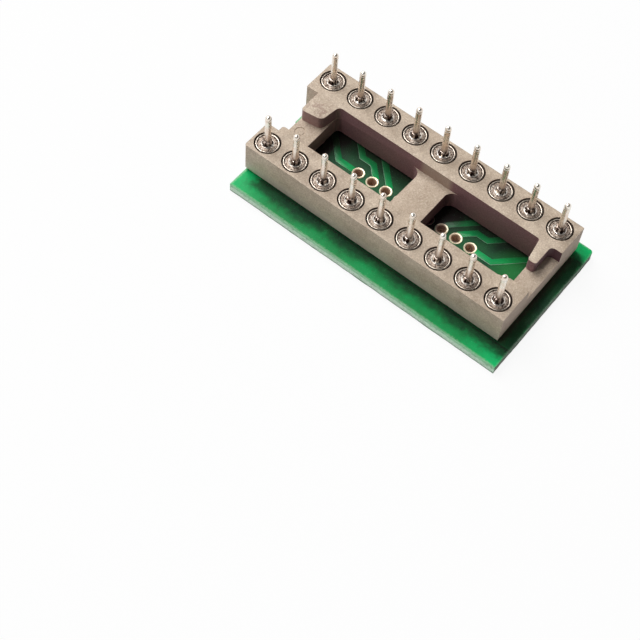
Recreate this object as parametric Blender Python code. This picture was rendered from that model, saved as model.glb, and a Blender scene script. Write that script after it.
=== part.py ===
"""Adapter board that carries an 18-lead surface-mount chip on an 18-pin dual-in-line header.

The board lies on its land face with the header and its pins pointing up. X runs along
the pin rows with the notched pin 1 end at -X, and +Y is the row of pins 1 to 9.
"""

import math

import bmesh
import bpy
from mathutils import Vector

MM = 0.001

# Pin grid of the header
PINS_PER_ROW = 9
PIN_PITCH = 2.54 * MM
ROW_SPACING = 7.62 * MM

# Turned pin: tail below the moulding, shank in it, flange in the counterbore, plug above
TAIL_DIAMETER = 0.76 * MM
SHANK_DIAMETER = 1.30 * MM
FLANGE_DIAMETER = 1.80 * MM
FLANGE_HEIGHT = 0.70 * MM
FLANGE_CONE = 0.06 * MM
FLANGE_CHAMFER = 0.07 * MM
COLLAR_DIAMETER = 0.70 * MM
COLLAR_HEIGHT = 0.32 * MM
PLUG_DIAMETER = 0.47 * MM
PLUG_SHOULDER = 0.35 * MM
PLUG_LENGTH = 2.985 * MM
PIN_SIDES = 12
TIP_STEPS = 2

# Header moulding: two rails, each round one row of pins, joined by three low bars
BODY_HEIGHT = 2.60 * MM
RAIL_OUTER_WALL = 1.19 * MM
RAIL_INNER_WALL = 1.64 * MM
BODY_LEFT_MARGIN = 1.16 * MM
BODY_RIGHT_MARGIN = 1.27 * MM
BAR_DROP = 1.10 * MM
LEFT_BAR_RECESS = 1.04 * MM
LEFT_BAR_WIDTH = 2.00 * MM
MIDDLE_BAR_OFFSET = 0.675 * MM
MIDDLE_BAR_WIDTH = 2.57 * MM
MIDDLE_BAR_ROOT = 0.70 * MM
RIGHT_BAR_WIDTH = 1.57 * MM
LEFT_TONGUE_LENGTH = 2.03 * MM
LEFT_TONGUE_SKEW = 0.24 * MM
LEFT_TONGUE_TAPER = 0.25 * MM
RIGHT_TONGUE_LENGTH = 1.95 * MM
RIGHT_TONGUE_WIDTH = 0.66 * MM
RIGHT_TONGUE_FLARE = 0.32 * MM
TONGUE_RADIUS = 0.50 * MM
TONGUE_CORNER = 0.22 * MM
TONGUE_ROOT = 0.38 * MM
LUG_STEP = 0.29 * MM
LUG_WIDTH = 1.25 * MM
LUG_RADIUS = 0.22 * MM
END_RELIEF = 0.24 * MM
CORNER_RADIUS = 0.18 * MM
EDGE_RADIUS = 0.10 * MM
FLANGE_GAP = 0.075 * MM
FLANGE_SINK = 0.05 * MM

# Board
BOARD_THICKNESS = 0.80 * MM
BOARD_LEFT_MARGIN = 0.24 * MM
BOARD_RIGHT_MARGIN = 1.59 * MM
BOARD_EDGE_MARGIN = 0.46 * MM
BOARD_CORNER_RADIUS = 0.30 * MM
NOTCH_RADIUS = 1.30 * MM
NOTCH_OUTSET = 0.12 * MM
STANDOFF = 0.25 * MM

# Copper: an 18-lead land pattern below, one plated hole and one trace for each lead
COPPER = 0.05 * MM
LAND_PITCH = 1.27 * MM
LAND_SHIFT_X = 0.41 * MM
LAND_SHIFT_Y = -0.485 * MM
LAND_REACH = 5.80 * MM
LAND_LENGTH = 3.95 * MM
LAND_WIDTH = 0.79 * MM
LAND_TAPER = 0.45 * MM
NECK_WIDTH = 0.54 * MM
VIA_ROW_SPACING = 1.27 * MM
VIA_BORE = 0.62 * MM
VIA_PLATING = 0.05 * MM
VIA_RING_WIDTH = 0.18 * MM
TRACE_WIDTH = 0.50 * MM
TRACE_LEAD = 1.85 * MM
TRACE_EXIT = 0.45 * MM
TRACE_JOG = 1.00 * MM
TRACE_JOG_RISE = 0.90 * MM
PIN_PAD_DIAMETER = 1.50 * MM
ROUND_SIDES = 10

# Solder joints between the pin tails and their pads
SOLDER_FILM = 0.03 * MM
SOLDER_MARGIN = 0.08 * MM
SOLDER_COLLAR = 0.05 * MM
SOLDER_STEPS = 2

# Clearance between pieces that seat on or in one another
FIT = 0.01 * MM

# How meshes are cleaned: points closer than this are one, edges flatter than this go
WELD = 0.001 * MM
FLAT = math.radians(0.5)

# Heights, from the land pads that the adapter lies on to the pin tips
BOARD_BOTTOM = COPPER
BOARD_TOP = BOARD_BOTTOM + BOARD_THICKNESS
PAD_TOP = BOARD_TOP + COPPER
BODY_BOTTOM = BOARD_TOP + STANDOFF
BODY_TOP = BODY_BOTTOM + BODY_HEIGHT
BAR_TOP = BODY_TOP - BAR_DROP
FLANGE_TOP = BODY_TOP - FLANGE_SINK
FLANGE_SEAT = FLANGE_TOP - FLANGE_HEIGHT
PIN_TIP = BODY_TOP + PLUG_LENGTH

# Extents in plan, measured from the middle of the pin grid
ROW_Y = ROW_SPACING / 2
ROW_END = PIN_PITCH * (PINS_PER_ROW - 1) / 2
BODY_LEFT = -ROW_END - BODY_LEFT_MARGIN
BODY_RIGHT = ROW_END + BODY_RIGHT_MARGIN
RAIL_OUTER = ROW_Y + RAIL_OUTER_WALL
RAIL_INNER = ROW_Y - RAIL_INNER_WALL
PAD_REACH = PIN_PAD_DIAMETER / 2
BOARD_LEFT = -ROW_END - PAD_REACH - BOARD_LEFT_MARGIN
BOARD_RIGHT = ROW_END + PAD_REACH + BOARD_RIGHT_MARGIN
BOARD_BACK = max(LAND_SHIFT_Y + LAND_REACH, ROW_Y + PAD_REACH) + BOARD_EDGE_MARGIN
BOARD_FRONT = min(LAND_SHIFT_Y - LAND_REACH, -ROW_Y - PAD_REACH) - BOARD_EDGE_MARGIN

# The middle of the whole part's box, which becomes the origin
CENTRE_X = (min(BODY_LEFT, BOARD_LEFT) + max(BODY_RIGHT, BOARD_RIGHT)) / 2
CENTRE_Y = (min(-RAIL_OUTER, BOARD_FRONT) + max(RAIL_OUTER, BOARD_BACK)) / 2
ORIGIN = Vector((-CENTRE_X, -CENTRE_Y, 0.0))


def clear_scene():
    for obj in list(bpy.data.objects):
        bpy.data.objects.remove(obj)


def new_collection(name):
    collection = bpy.data.collections.new(name)
    bpy.context.scene.collection.children.link(collection)
    return collection


def new_material(name, colour, roughness, metallic):
    material = bpy.data.materials.new(name)
    material.use_nodes = True
    shader = material.node_tree.nodes["Principled BSDF"]
    shader.inputs["Base Color"].default_value = (*colour, 1.0)
    shader.inputs["Roughness"].default_value = roughness
    shader.inputs["Metallic"].default_value = metallic
    return material


def add_mesh(name, mesh, collection, material=None, location=(0.0, 0.0, 0.0)):
    obj = bpy.data.objects.new(name, mesh)
    obj.location = Vector(location)
    if material and not mesh.materials:
        mesh.materials.append(material)
    collection.objects.link(obj)
    return obj


def arc(centre, radius, start, end, steps):
    """Points on an arc, both ends included. Angles are in radians."""
    points = []
    for step in range(steps + 1):
        angle = start + (end - start) * step / steps
        points.append(centre + radius * Vector((math.cos(angle), math.sin(angle))))
    return points


def circle(centre, radius, sides):
    """A closed ring of points, with flats facing along X and Y."""
    half_step = math.pi / sides
    return arc(centre, radius, half_step, half_step + 2 * math.pi, sides)[:-1]


def rounded_outline(corners, steps=2):
    """A closed outline from (x, y, radius) corners, each fillet drawn as an arc."""
    outline = []
    count = len(corners)
    for index, (x, y, radius) in enumerate(corners):
        corner = Vector((x, y))
        before = (Vector(corners[index - 1][:2]) - corner).normalized()
        after = (Vector(corners[(index + 1) % count][:2]) - corner).normalized()
        if radius == 0:
            outline.append(corner)
            continue
        half_angle = before.angle(after) / 2
        bisector = (before + after).normalized()
        centre = corner + bisector * radius / math.sin(half_angle)
        first = corner + before * radius / math.tan(half_angle) - centre
        last = corner + after * radius / math.tan(half_angle) - centre
        start = math.atan2(first.y, first.x)
        turn = first.angle_signed(last)
        outline += arc(centre, radius, start, start - turn, steps)
    return outline


def prism(name, outline, bottom, top):
    """A flat outline without holes, extruded between two heights."""
    work = bmesh.new()
    verts = [work.verts.new((point.x, point.y, bottom)) for point in outline]
    edges = [work.edges.new(pair) for pair in zip(verts, verts[1:] + verts[:1])]
    base = bmesh.ops.contextual_create(work, geom=edges)["faces"]
    raised = bmesh.ops.extrude_face_region(work, geom=base, use_keep_orig=True)["geom"]
    top_verts = [element for element in raised if isinstance(element, bmesh.types.BMVert)]
    bmesh.ops.translate(work, verts=top_verts, vec=(0.0, 0.0, top - bottom))
    bmesh.ops.recalc_face_normals(work, faces=work.faces)
    mesh = bpy.data.meshes.new(name)
    work.to_mesh(mesh)
    work.free()
    return mesh


def plate(name, outline, holes, bottom, top):
    """A flat outline with holes through it, filled and extruded as a 2D curve."""
    curve = bpy.data.curves.new(name, "CURVE")
    curve.dimensions = "2D"
    curve.fill_mode = "BOTH"
    curve.extrude = (top - bottom) / 2
    for loop in [outline] + holes:
        spline = curve.splines.new("POLY")
        spline.points.add(len(loop) - 1)
        for point, place in zip(spline.points, loop):
            point.co = (place.x, place.y, 0.0, 1.0)
        spline.use_cyclic_u = True
    guide = bpy.data.objects.new(name, curve)
    bpy.context.scene.collection.objects.link(guide)
    bpy.context.view_layer.update()
    evaluated = guide.evaluated_get(bpy.context.evaluated_depsgraph_get())
    mesh = bpy.data.meshes.new_from_object(evaluated)
    bpy.data.objects.remove(guide)
    weld(mesh, lift=(top + bottom) / 2)
    return mesh


def weld(mesh, lift=0.0):
    """Merge doubled points, clear edges inside flat faces and face everything outwards."""
    work = bmesh.new()
    work.from_mesh(mesh)
    bmesh.ops.remove_doubles(work, verts=work.verts, dist=WELD)
    bmesh.ops.dissolve_limit(work, angle_limit=FLAT, verts=work.verts, edges=work.edges)
    bmesh.ops.translate(work, verts=work.verts, vec=(0.0, 0.0, lift))
    bmesh.ops.recalc_face_normals(work, faces=work.faces)
    work.to_mesh(mesh)
    work.free()


def turned(name, profile, sides):
    """A solid of revolution from (radius, height) points that start and end on the axis."""
    work = bmesh.new()
    half_step = math.pi / sides
    verts = []
    for radius, height in profile:
        place = (radius * math.cos(half_step), radius * math.sin(half_step), height)
        verts.append(work.verts.new(place))
    edges = [work.edges.new(pair) for pair in zip(verts, verts[1:])]
    bmesh.ops.spin(work, geom=verts + edges, cent=(0, 0, 0), axis=(0, 0, 1),
                   angle=2 * math.pi, steps=sides, use_merge=True)
    bmesh.ops.remove_doubles(work, verts=work.verts, dist=WELD)
    bmesh.ops.recalc_face_normals(work, faces=work.faces)
    mesh = bpy.data.meshes.new(name)
    work.to_mesh(mesh)
    work.free()
    mesh.shade_smooth()
    mesh.set_sharp_from_angle(angle=math.radians(35))
    return mesh


def combine(obj, tool_mesh, operation, location=(0.0, 0.0, 0.0)):
    """Join or cut an object with a tool mesh and keep the result as its mesh."""
    tool = add_mesh(f"{obj.name}_tool", tool_mesh, cutters, location=location)
    tool.hide_render = True
    tool.display_type = "WIRE"
    modifier = obj.modifiers.new(operation, "BOOLEAN")
    modifier.operation = operation
    modifier.solver = "EXACT"
    modifier.object = tool
    bpy.context.view_layer.update()
    evaluated = obj.evaluated_get(bpy.context.evaluated_depsgraph_get())
    mesh = bpy.data.meshes.new_from_object(evaluated)
    weld(mesh)
    obj.modifiers.clear()
    obj.data = mesh
    bpy.data.objects.remove(tool)


def pin_centres():
    """Pin number, column from the notched end, and centre, round the header from pin 1."""
    centres = []
    for column in range(PINS_PER_ROW):
        x = column * PIN_PITCH - ROW_END
        centres.append((column + 1, column, Vector((x, ROW_Y))))
        centres.append((2 * PINS_PER_ROW - column, column, Vector((x, -ROW_Y))))
    return sorted(centres, key=lambda entry: entry[0])


def via_centre(column, side):
    """Centre of a plated hole. The side is 1 for the back row and -1 for the front."""
    middle = (PINS_PER_ROW - 1) / 2
    x = LAND_SHIFT_X + (column - middle) * LAND_PITCH
    y = LAND_SHIFT_Y + side * VIA_ROW_SPACING / 2
    return Vector((x, y))


def rail_outline(side, with_tongues):
    """Plan of one rail: the back one carries the tongues, the front one the lugs."""
    left_bar = BODY_LEFT + LEFT_BAR_RECESS
    left_window = left_bar + LEFT_BAR_WIDTH
    right_bar = BODY_RIGHT - RIGHT_BAR_WIDTH
    inner = RAIL_INNER
    relief = RAIL_INNER + END_RELIEF
    corners = [(BODY_RIGHT, side * RAIL_OUTER, 0), (BODY_LEFT, side * RAIL_OUTER, CORNER_RADIUS)]
    if with_tongues:
        left_tip = inner - LEFT_TONGUE_LENGTH
        right_tip = inner - RIGHT_TONGUE_LENGTH
        right_edge = right_bar + RIGHT_TONGUE_WIDTH
        left_corner = left_window - LEFT_TONGUE_TAPER
        flare = right_bar - RIGHT_TONGUE_FLARE
        corners += [
            (BODY_LEFT, side * inner, 0),
            (left_bar, side * inner, 0),
            (left_bar, side * left_tip, TONGUE_CORNER),
            (left_corner, side * (left_tip + LEFT_TONGUE_SKEW), TONGUE_RADIUS),
            (left_window, side * inner, TONGUE_ROOT),
            (flare, side * inner, TONGUE_CORNER),
            (right_bar, side * right_tip, TONGUE_CORNER),
            (right_edge, side * right_tip, TONGUE_CORNER),
            (right_edge, side * inner, TONGUE_ROOT),
            (BODY_RIGHT, side * inner, 0),
        ]
    else:
        lug = inner - LUG_STEP
        lug_right = right_bar - LUG_WIDTH / 2
        corners += [
            (BODY_LEFT, side * relief, 0),
            (left_bar, side * relief, 0),
            (left_bar, side * lug, LUG_RADIUS),
            (left_bar + LUG_WIDTH, side * lug, LUG_RADIUS),
            (left_bar + LUG_WIDTH + LUG_STEP, side * inner, LUG_RADIUS),
            (lug_right - LUG_STEP, side * inner, LUG_RADIUS),
            (right_bar, side * lug, LUG_RADIUS),
            (BODY_RIGHT, side * lug, 0),
        ]
    return rounded_outline(corners)


def frame_outline():
    """Plan of the moulding below the bar tops: rails, bars and the open notch at the left."""
    left_bar = BODY_LEFT + LEFT_BAR_RECESS
    relief = RAIL_INNER + END_RELIEF
    return rounded_outline([
        (BODY_RIGHT, RAIL_OUTER, 0),
        (BODY_LEFT, RAIL_OUTER, CORNER_RADIUS),
        (BODY_LEFT, RAIL_INNER, 0),
        (left_bar, RAIL_INNER, 0),
        (left_bar, -relief, 0),
        (BODY_LEFT, -relief, 0),
        (BODY_LEFT, -RAIL_OUTER, CORNER_RADIUS),
        (BODY_RIGHT, -RAIL_OUTER, 0),
    ])


def window_outlines():
    """Plans of the two windows that go right through the moulding."""
    left_edge = BODY_LEFT + LEFT_BAR_RECESS + LEFT_BAR_WIDTH
    middle_left = MIDDLE_BAR_OFFSET - MIDDLE_BAR_WIDTH / 2
    middle_right = MIDDLE_BAR_OFFSET + MIDDLE_BAR_WIDTH / 2
    right_edge = BODY_RIGHT - RIGHT_BAR_WIDTH
    outlines = []
    for low, high, low_root, high_root in (
            (left_edge, middle_left, TONGUE_ROOT, MIDDLE_BAR_ROOT),
            (middle_right, right_edge, MIDDLE_BAR_ROOT, TONGUE_ROOT)):
        outlines.append(rounded_outline([
            (low, -RAIL_INNER, 0),
            (high, -RAIL_INNER, 0),
            (high, RAIL_INNER, high_root),
            (low, RAIL_INNER, low_root),
        ]))
    return outlines


def round_top(mesh, height, radius):
    """Round the upper rim of a prism."""
    work = bmesh.new()
    work.from_mesh(mesh)
    rim = []
    for edge in work.edges:
        at_top = all(abs(vert.co.z - height) < FIT for vert in edge.verts)
        angle = edge.calc_face_angle(0.0)
        if at_top and angle > math.radians(60):
            rim.append(edge)
    bmesh.ops.bevel(work, geom=rim, offset=radius, offset_type="OFFSET", segments=2,
                    profile=0.5, affect="EDGES", clamp_overlap=True, material=-1)
    work.to_mesh(mesh)
    work.free()


def bore_profile():
    """Stepped hole for one pin: a clearance bore below and a counterbore for the flange."""
    shank = SHANK_DIAMETER / 2 + FIT
    counterbore = FLANGE_DIAMETER / 2 + FLANGE_GAP
    seat = FLANGE_SEAT - FIT
    return [
        (0.0, BODY_TOP + BODY_HEIGHT),
        (counterbore, BODY_TOP + BODY_HEIGHT),
        (counterbore, seat),
        (shank, seat),
        (shank, BODY_BOTTOM - BODY_HEIGHT),
        (0.0, BODY_BOTTOM - BODY_HEIGHT),
    ]


def make_header_body(material):
    """The moulded frame: a low layer with windows, a rail on each side, and stepped bores."""
    overlap = BAR_DROP / 4
    lower = prism("header_body", frame_outline(), BODY_BOTTOM, BAR_TOP)
    body = add_mesh("header_body", lower, parts, material, location=ORIGIN)
    for outline in window_outlines():
        window = prism("window", outline, BODY_BOTTOM - BODY_HEIGHT, BODY_TOP)
        combine(body, window, "DIFFERENCE", location=ORIGIN)
    for side, with_tongues in ((1, True), (-1, False)):
        rail = prism("rail", rail_outline(side, with_tongues), BAR_TOP - overlap, BODY_TOP)
        round_top(rail, BODY_TOP, EDGE_RADIUS)
        combine(body, rail, "UNION", location=ORIGIN)
    bore = turned("bore", bore_profile(), PIN_SIDES)
    for number, column, centre in pin_centres():
        place = ORIGIN + Vector((centre.x, centre.y, 0.0))
        combine(body, bore, "DIFFERENCE", location=place)
    body.data.materials.clear()
    body.data.materials.append(material)
    return body


def board_outline():
    """Plan of the board: a rectangle with a round notch in the pin 1 end."""
    notch = Vector((BOARD_LEFT - NOTCH_OUTSET, LAND_SHIFT_Y))
    opening = math.acos(NOTCH_OUTSET / NOTCH_RADIUS)
    outline = rounded_outline([
        (BOARD_LEFT, BOARD_FRONT, 0),
        (BOARD_RIGHT, BOARD_FRONT, 0),
        (BOARD_RIGHT, BOARD_BACK, BOARD_CORNER_RADIUS),
        (BOARD_LEFT, BOARD_BACK, 0),
    ])
    return outline + arc(notch, NOTCH_RADIUS, opening, -opening, 2 * ROUND_SIDES)


def make_board(material):
    drill = VIA_BORE / 2 + VIA_PLATING + FIT
    holes = []
    for column in range(PINS_PER_ROW):
        for side in (1, -1):
            holes.append(circle(via_centre(column, side), drill, ROUND_SIDES))
    mesh = plate("board", board_outline(), holes, BOARD_BOTTOM, BOARD_TOP)
    return add_mesh("board", mesh, parts, material, location=ORIGIN)


def strip_outline(path, widths, start_radius, end_radius):
    """Outline of a copper strip with a round pad at each end.

    The path's points carry the strip's width there, and corners between straight
    runs are mitred. The round ends take over where the strip's sides meet them, so
    a bend inside a round end is passed by.
    """
    kept = [0]
    for index in range(1, len(path) - 1):
        room = widths[index] / 2
        near_start = (path[index] - path[0]).length < start_radius + room
        near_end = (path[index] - path[-1]).length < end_radius + room
        if not near_start and not (near_end and widths[index] < 2 * end_radius):
            kept.append(index)
    kept.append(len(path) - 1)
    path = [path[index] for index in kept]
    widths = [widths[index] for index in kept]
    left = []
    right = []
    for index in range(1, len(path) - 1):
        before = (path[index] - path[index - 1]).normalized()
        after = (path[index + 1] - path[index]).normalized()
        normal = (before + after).normalized()
        normal = Vector((-normal.y, normal.x))
        mitre = 1 / normal.dot(Vector((-after.y, after.x)))
        left.append(path[index] + normal * mitre * widths[index] / 2)
        right.append(path[index] - normal * mitre * widths[index] / 2)
    outline = round_end(path[0], path[1], widths[0], start_radius)
    outline += right
    outline += round_end(path[-1], path[-2], widths[-1], end_radius)
    outline += reversed(left)
    return outline


def round_end(centre, towards, width, radius):
    """The arc of a round pad, open on the side where the strip leaves it."""
    heading = (towards - centre).normalized()
    base = math.atan2(heading.y, heading.x)
    mouth = math.asin(min(1.0, width / 2 / radius))
    steps = round(ROUND_SIDES * (1 - mouth / math.pi))
    return arc(centre, radius, base + mouth, base + 2 * math.pi - mouth, steps)


def trace_path(column, side, pin):
    """Route of a header-face trace: out from the plated hole, then up to the pin's pad.

    The end columns run level first, the next ones jog level on the way, and the middle
    ones run straight up before they slant. Every slanted run is at 45 degrees. A level
    run is longer where the pad is too far off for the slant alone, and it lies higher up
    for the inner columns, so that the runs nest.
    """
    start = via_centre(column, side)
    across = abs(pin.x - start.x)
    up = abs(pin.y - start.y)
    outwards = math.copysign(1.0, pin.x - start.x)
    middle = (PINS_PER_ROW - 1) // 2
    from_end = middle - abs(column - middle)
    if from_end == 0:
        straight, level = 0.0, TRACE_LEAD
    elif from_end == 1:
        straight, level = TRACE_EXIT, TRACE_JOG
    elif from_end == 2:
        straight, level = TRACE_EXIT, 0.0
    else:
        straight, level = up - across, 0.0
    level = max(level, across - (up - straight))
    slant = across - level
    first_slant = min(TRACE_JOG_RISE * from_end, slant) if level > FIT else 0.0
    moves = [(0.0, straight), (first_slant, first_slant), (level, 0.0)]
    moves += [(slant - first_slant, slant - first_slant), (0.0, up - straight - slant)]
    path = [start]
    for along, rise in moves:
        if along > FIT or rise > FIT:
            path.append(path[-1] + Vector((outwards * along, side * rise)))
    return path


def land_path(column, side):
    """Centre line of a land: out from the plated hole along the neck and the bare pad."""
    start = via_centre(column, side)
    reach = LAND_REACH - VIA_ROW_SPACING / 2
    stops = (reach - LAND_LENGTH, reach - LAND_LENGTH + LAND_TAPER, reach - LAND_WIDTH / 2)
    path = [start]
    for stop in stops:
        path.append(start + Vector((0.0, side * stop)))
    return path


def make_conductor(number, column, pin, material):
    """One net: the land pad, the plated hole and the header-face trace with its pin pad."""
    side = 1 if pin.y > 0 else -1
    via = via_centre(column, side)
    ring = VIA_BORE / 2 + VIA_RING_WIDTH
    land = land_path(column, side)
    land_widths = [NECK_WIDTH, NECK_WIDTH, LAND_WIDTH, LAND_WIDTH]
    lower = strip_outline(land, land_widths, ring, LAND_WIDTH / 2)
    trace = trace_path(column, side, pin)
    upper = strip_outline(trace, [TRACE_WIDTH] * len(trace), ring, PAD_REACH)
    name = f"conductor_{number:02d}"
    lower_mesh = prism(name, lower, 0.0, BOARD_BOTTOM)
    upper_mesh = prism(name, upper, BOARD_TOP, PAD_TOP)
    barrel = prism(name, circle(via, VIA_BORE / 2 + VIA_PLATING, ROUND_SIDES),
                   BOARD_BOTTOM / 2, (BOARD_TOP + PAD_TOP) / 2)
    bore = prism(name, circle(via, VIA_BORE / 2, ROUND_SIDES), -COPPER, PAD_TOP + COPPER)
    conductor = add_mesh(name, lower_mesh, parts, material, location=ORIGIN)
    combine(conductor, barrel, "UNION", location=ORIGIN)
    combine(conductor, upper_mesh, "UNION", location=ORIGIN)
    combine(conductor, bore, "DIFFERENCE", location=ORIGIN)
    conductor.data.materials.clear()
    conductor.data.materials.append(material)
    return conductor


def tail_foot():
    """Height of the end of a pin's tail, on the film of solder over its pad."""
    return PAD_TOP + SOLDER_FILM + FIT


def pin_profile():
    """Section of a turned pin, from the foot of its tail to its rounded tip."""
    plug = PLUG_DIAMETER / 2
    collar = COLLAR_DIAMETER / 2
    collar_base = FLANGE_TOP + FLANGE_CONE
    collar_top = collar_base + COLLAR_HEIGHT
    profile = [
        (0.0, tail_foot()),
        (TAIL_DIAMETER / 2, tail_foot()),
        (TAIL_DIAMETER / 2, BODY_BOTTOM),
        (SHANK_DIAMETER / 2, BODY_BOTTOM),
        (SHANK_DIAMETER / 2, FLANGE_SEAT),
        (FLANGE_DIAMETER / 2, FLANGE_SEAT),
        (FLANGE_DIAMETER / 2, FLANGE_TOP - FLANGE_CHAMFER),
        (FLANGE_DIAMETER / 2 - FLANGE_CHAMFER, FLANGE_TOP),
        (collar, collar_base),
        (collar, collar_top),
        (plug, collar_top + PLUG_SHOULDER),
    ]
    for step in range(TIP_STEPS):
        angle = math.pi / 2 * step / TIP_STEPS
        profile.append((plug * math.cos(angle), PIN_TIP - plug + plug * math.sin(angle)))
    profile.append((0.0, PIN_TIP))
    return profile


def solder_profile():
    """Section of a joint: a film under the tail and a hollow fillet round it."""
    tail = TAIL_DIAMETER / 2 + FIT
    neck = tail + SOLDER_COLLAR
    foot = PAD_REACH - SOLDER_MARGIN
    bottom = PAD_TOP
    top = BODY_BOTTOM - SOLDER_MARGIN / 4
    edge = bottom + SOLDER_FILM
    profile = [(0.0, bottom), (foot, bottom)]
    for step in range(SOLDER_STEPS + 1):
        angle = math.pi / 2 * step / SOLDER_STEPS
        radius = foot - (foot - neck) * math.sin(angle)
        profile.append((radius, edge + (top - edge) * (1 - math.cos(angle))))
    profile += [(tail, top), (tail, edge), (0.0, edge)]
    return profile


def make_pins(material):
    mesh = turned("turned_pin", pin_profile(), PIN_SIDES)
    for number, column, centre in pin_centres():
        place = ORIGIN + Vector((centre.x, centre.y, 0.0))
        add_mesh(f"pin_{number:02d}", mesh, parts, material, location=place)


def make_solder_joints(material):
    mesh = turned("solder_joint", solder_profile(), PIN_SIDES)
    for number, column, centre in pin_centres():
        place = ORIGIN + Vector((centre.x, centre.y, 0.0))
        add_mesh(f"solder_joint_{number:02d}", mesh, parts, material, location=place)


def make_conductors(material):
    for number, column, centre in pin_centres():
        make_conductor(number, column, centre, material)


clear_scene()
parts = new_collection("soic_to_dip_adapter")
cutters = new_collection("cutters")
make_header_body(new_material("taupe_moulding", (0.52, 0.45, 0.36), 0.55, 0.0))
make_board(new_material("green_board", (0.02, 0.42, 0.12), 0.40, 0.0))
make_conductors(new_material("tinned_copper", (0.83, 0.66, 0.44), 0.40, 1.0))
make_pins(new_material("plated_pin", (0.78, 0.75, 0.68), 0.22, 1.0))
make_solder_joints(new_material("solder", (0.62, 0.62, 0.62), 0.30, 1.0))
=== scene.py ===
# %% [markdown]
# # Chip adapter: a small board on a header of turned pins
#
# The real object carries a small surface-mount chip on one face of a green board. A moulded
# header with two rows of turned pins sits on the other face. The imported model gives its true
# sizes, and this script gives every surface its finish. All lengths are in metres, and MM
# turns a size in millimetres into metres.

# %% Load the fixed frame
import math

import bmesh
import bpy
from mathutils import Matrix, Vector, noise


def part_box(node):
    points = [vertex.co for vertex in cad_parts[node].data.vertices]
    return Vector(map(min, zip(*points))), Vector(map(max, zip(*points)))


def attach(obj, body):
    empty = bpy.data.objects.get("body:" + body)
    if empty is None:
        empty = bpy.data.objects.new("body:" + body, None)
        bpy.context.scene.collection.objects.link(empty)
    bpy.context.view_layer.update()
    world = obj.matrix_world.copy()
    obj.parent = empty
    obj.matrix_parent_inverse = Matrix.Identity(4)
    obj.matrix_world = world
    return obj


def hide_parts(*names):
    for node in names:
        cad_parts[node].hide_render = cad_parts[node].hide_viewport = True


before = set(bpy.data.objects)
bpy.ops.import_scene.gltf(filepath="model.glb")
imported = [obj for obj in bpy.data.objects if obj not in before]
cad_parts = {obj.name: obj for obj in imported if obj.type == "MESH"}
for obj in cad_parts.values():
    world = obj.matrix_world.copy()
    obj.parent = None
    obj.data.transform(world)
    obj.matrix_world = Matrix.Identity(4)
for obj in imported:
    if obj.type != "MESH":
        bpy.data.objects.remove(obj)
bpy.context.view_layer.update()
MM = 0.001
PINS_PER_ROW = 9
LAST_PIN = 2 * PINS_PER_ROW
PIN_NUMBERS = range(1, LAST_PIN + 1)
print("frame loaded:", len(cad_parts), "nodes")

# %% [markdown]
# ## Where everything is
#
# The frame already knows where each piece lies, so places are read from it. A pin's centre is
# the centre of its box. The board and the header moulding give their own boxes. This keeps
# the finished pieces exactly where the plain solids are.

# %% Read the places from the frame
header_low, header_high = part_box("header_body")
board_low, board_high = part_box("board")
copper_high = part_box("conductor_01")[1]


def pin_centre(number):
    low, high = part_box(f"pin_{number:02d}")
    return Vector(((low.x + high.x) / 2, (low.y + high.y) / 2, 0.0))


pin_places = {number: pin_centre(number) for number in PIN_NUMBERS}
grid_centre = (pin_places[1] + pin_places[10]) / 2
print("header from", header_low, "to", header_high)

# %% [markdown]
# ## The camera
#
# The photograph looks down at the adapter from the front right, from about ten
# centimetres away. The camera is set by its direction, its roll and the point that it aims
# at. That point is off the object, because the object isn't in the middle of the picture.

# %% Set the camera
CAMERA_AZIMUTH = 33.44
CAMERA_ELEVATION = 59.175
CAMERA_ROLL = math.radians(6.0)
CAMERA_DISTANCE = 95.95 * MM
CAMERA_AIM = Vector((1.36, -12.453, 3.70)) * MM
LENS = 80.82


def direction(azimuth, elevation):
    """Away from the object. Azimuth 0 is in front of it, and 90 is on its right."""
    turn = math.radians(azimuth)
    lift = math.radians(elevation)
    return Vector((math.sin(turn) * math.cos(lift), -math.cos(turn) * math.cos(lift),
                   math.sin(lift)))


def make_camera():
    """A camera that looks back along its own +Z at the aim point."""
    back = direction(CAMERA_AZIMUTH, CAMERA_ELEVATION)
    turn = math.radians(CAMERA_AZIMUTH)
    level_right = Vector((math.cos(turn), math.sin(turn), 0.0))
    level_up = back.cross(level_right)
    right = level_right * math.cos(CAMERA_ROLL) + level_up * math.sin(CAMERA_ROLL)
    up = back.cross(right)
    data = bpy.data.cameras.new("camera")
    data.lens = LENS
    data.clip_start = 1 * MM
    data.clip_end = 10.0
    camera = bpy.data.objects.new("camera", data)
    turned = Matrix((right, up, back)).transposed().to_4x4()
    camera.matrix_world = Matrix.Translation(CAMERA_AIM + back * CAMERA_DISTANCE) @ turned
    bpy.context.scene.collection.objects.link(camera)
    bpy.context.scene.camera = camera
    return camera


camera = make_camera()
print("camera at", camera.matrix_world.translation)

# %% [markdown]
# ## Shader arithmetic
#
# A material is a network of nodes, and long networks are hard to read as code. This class
# wraps one output socket, so that a sum or a product of two of them is written as plain
# arithmetic. Each expression adds the Math node that it needs.

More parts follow.
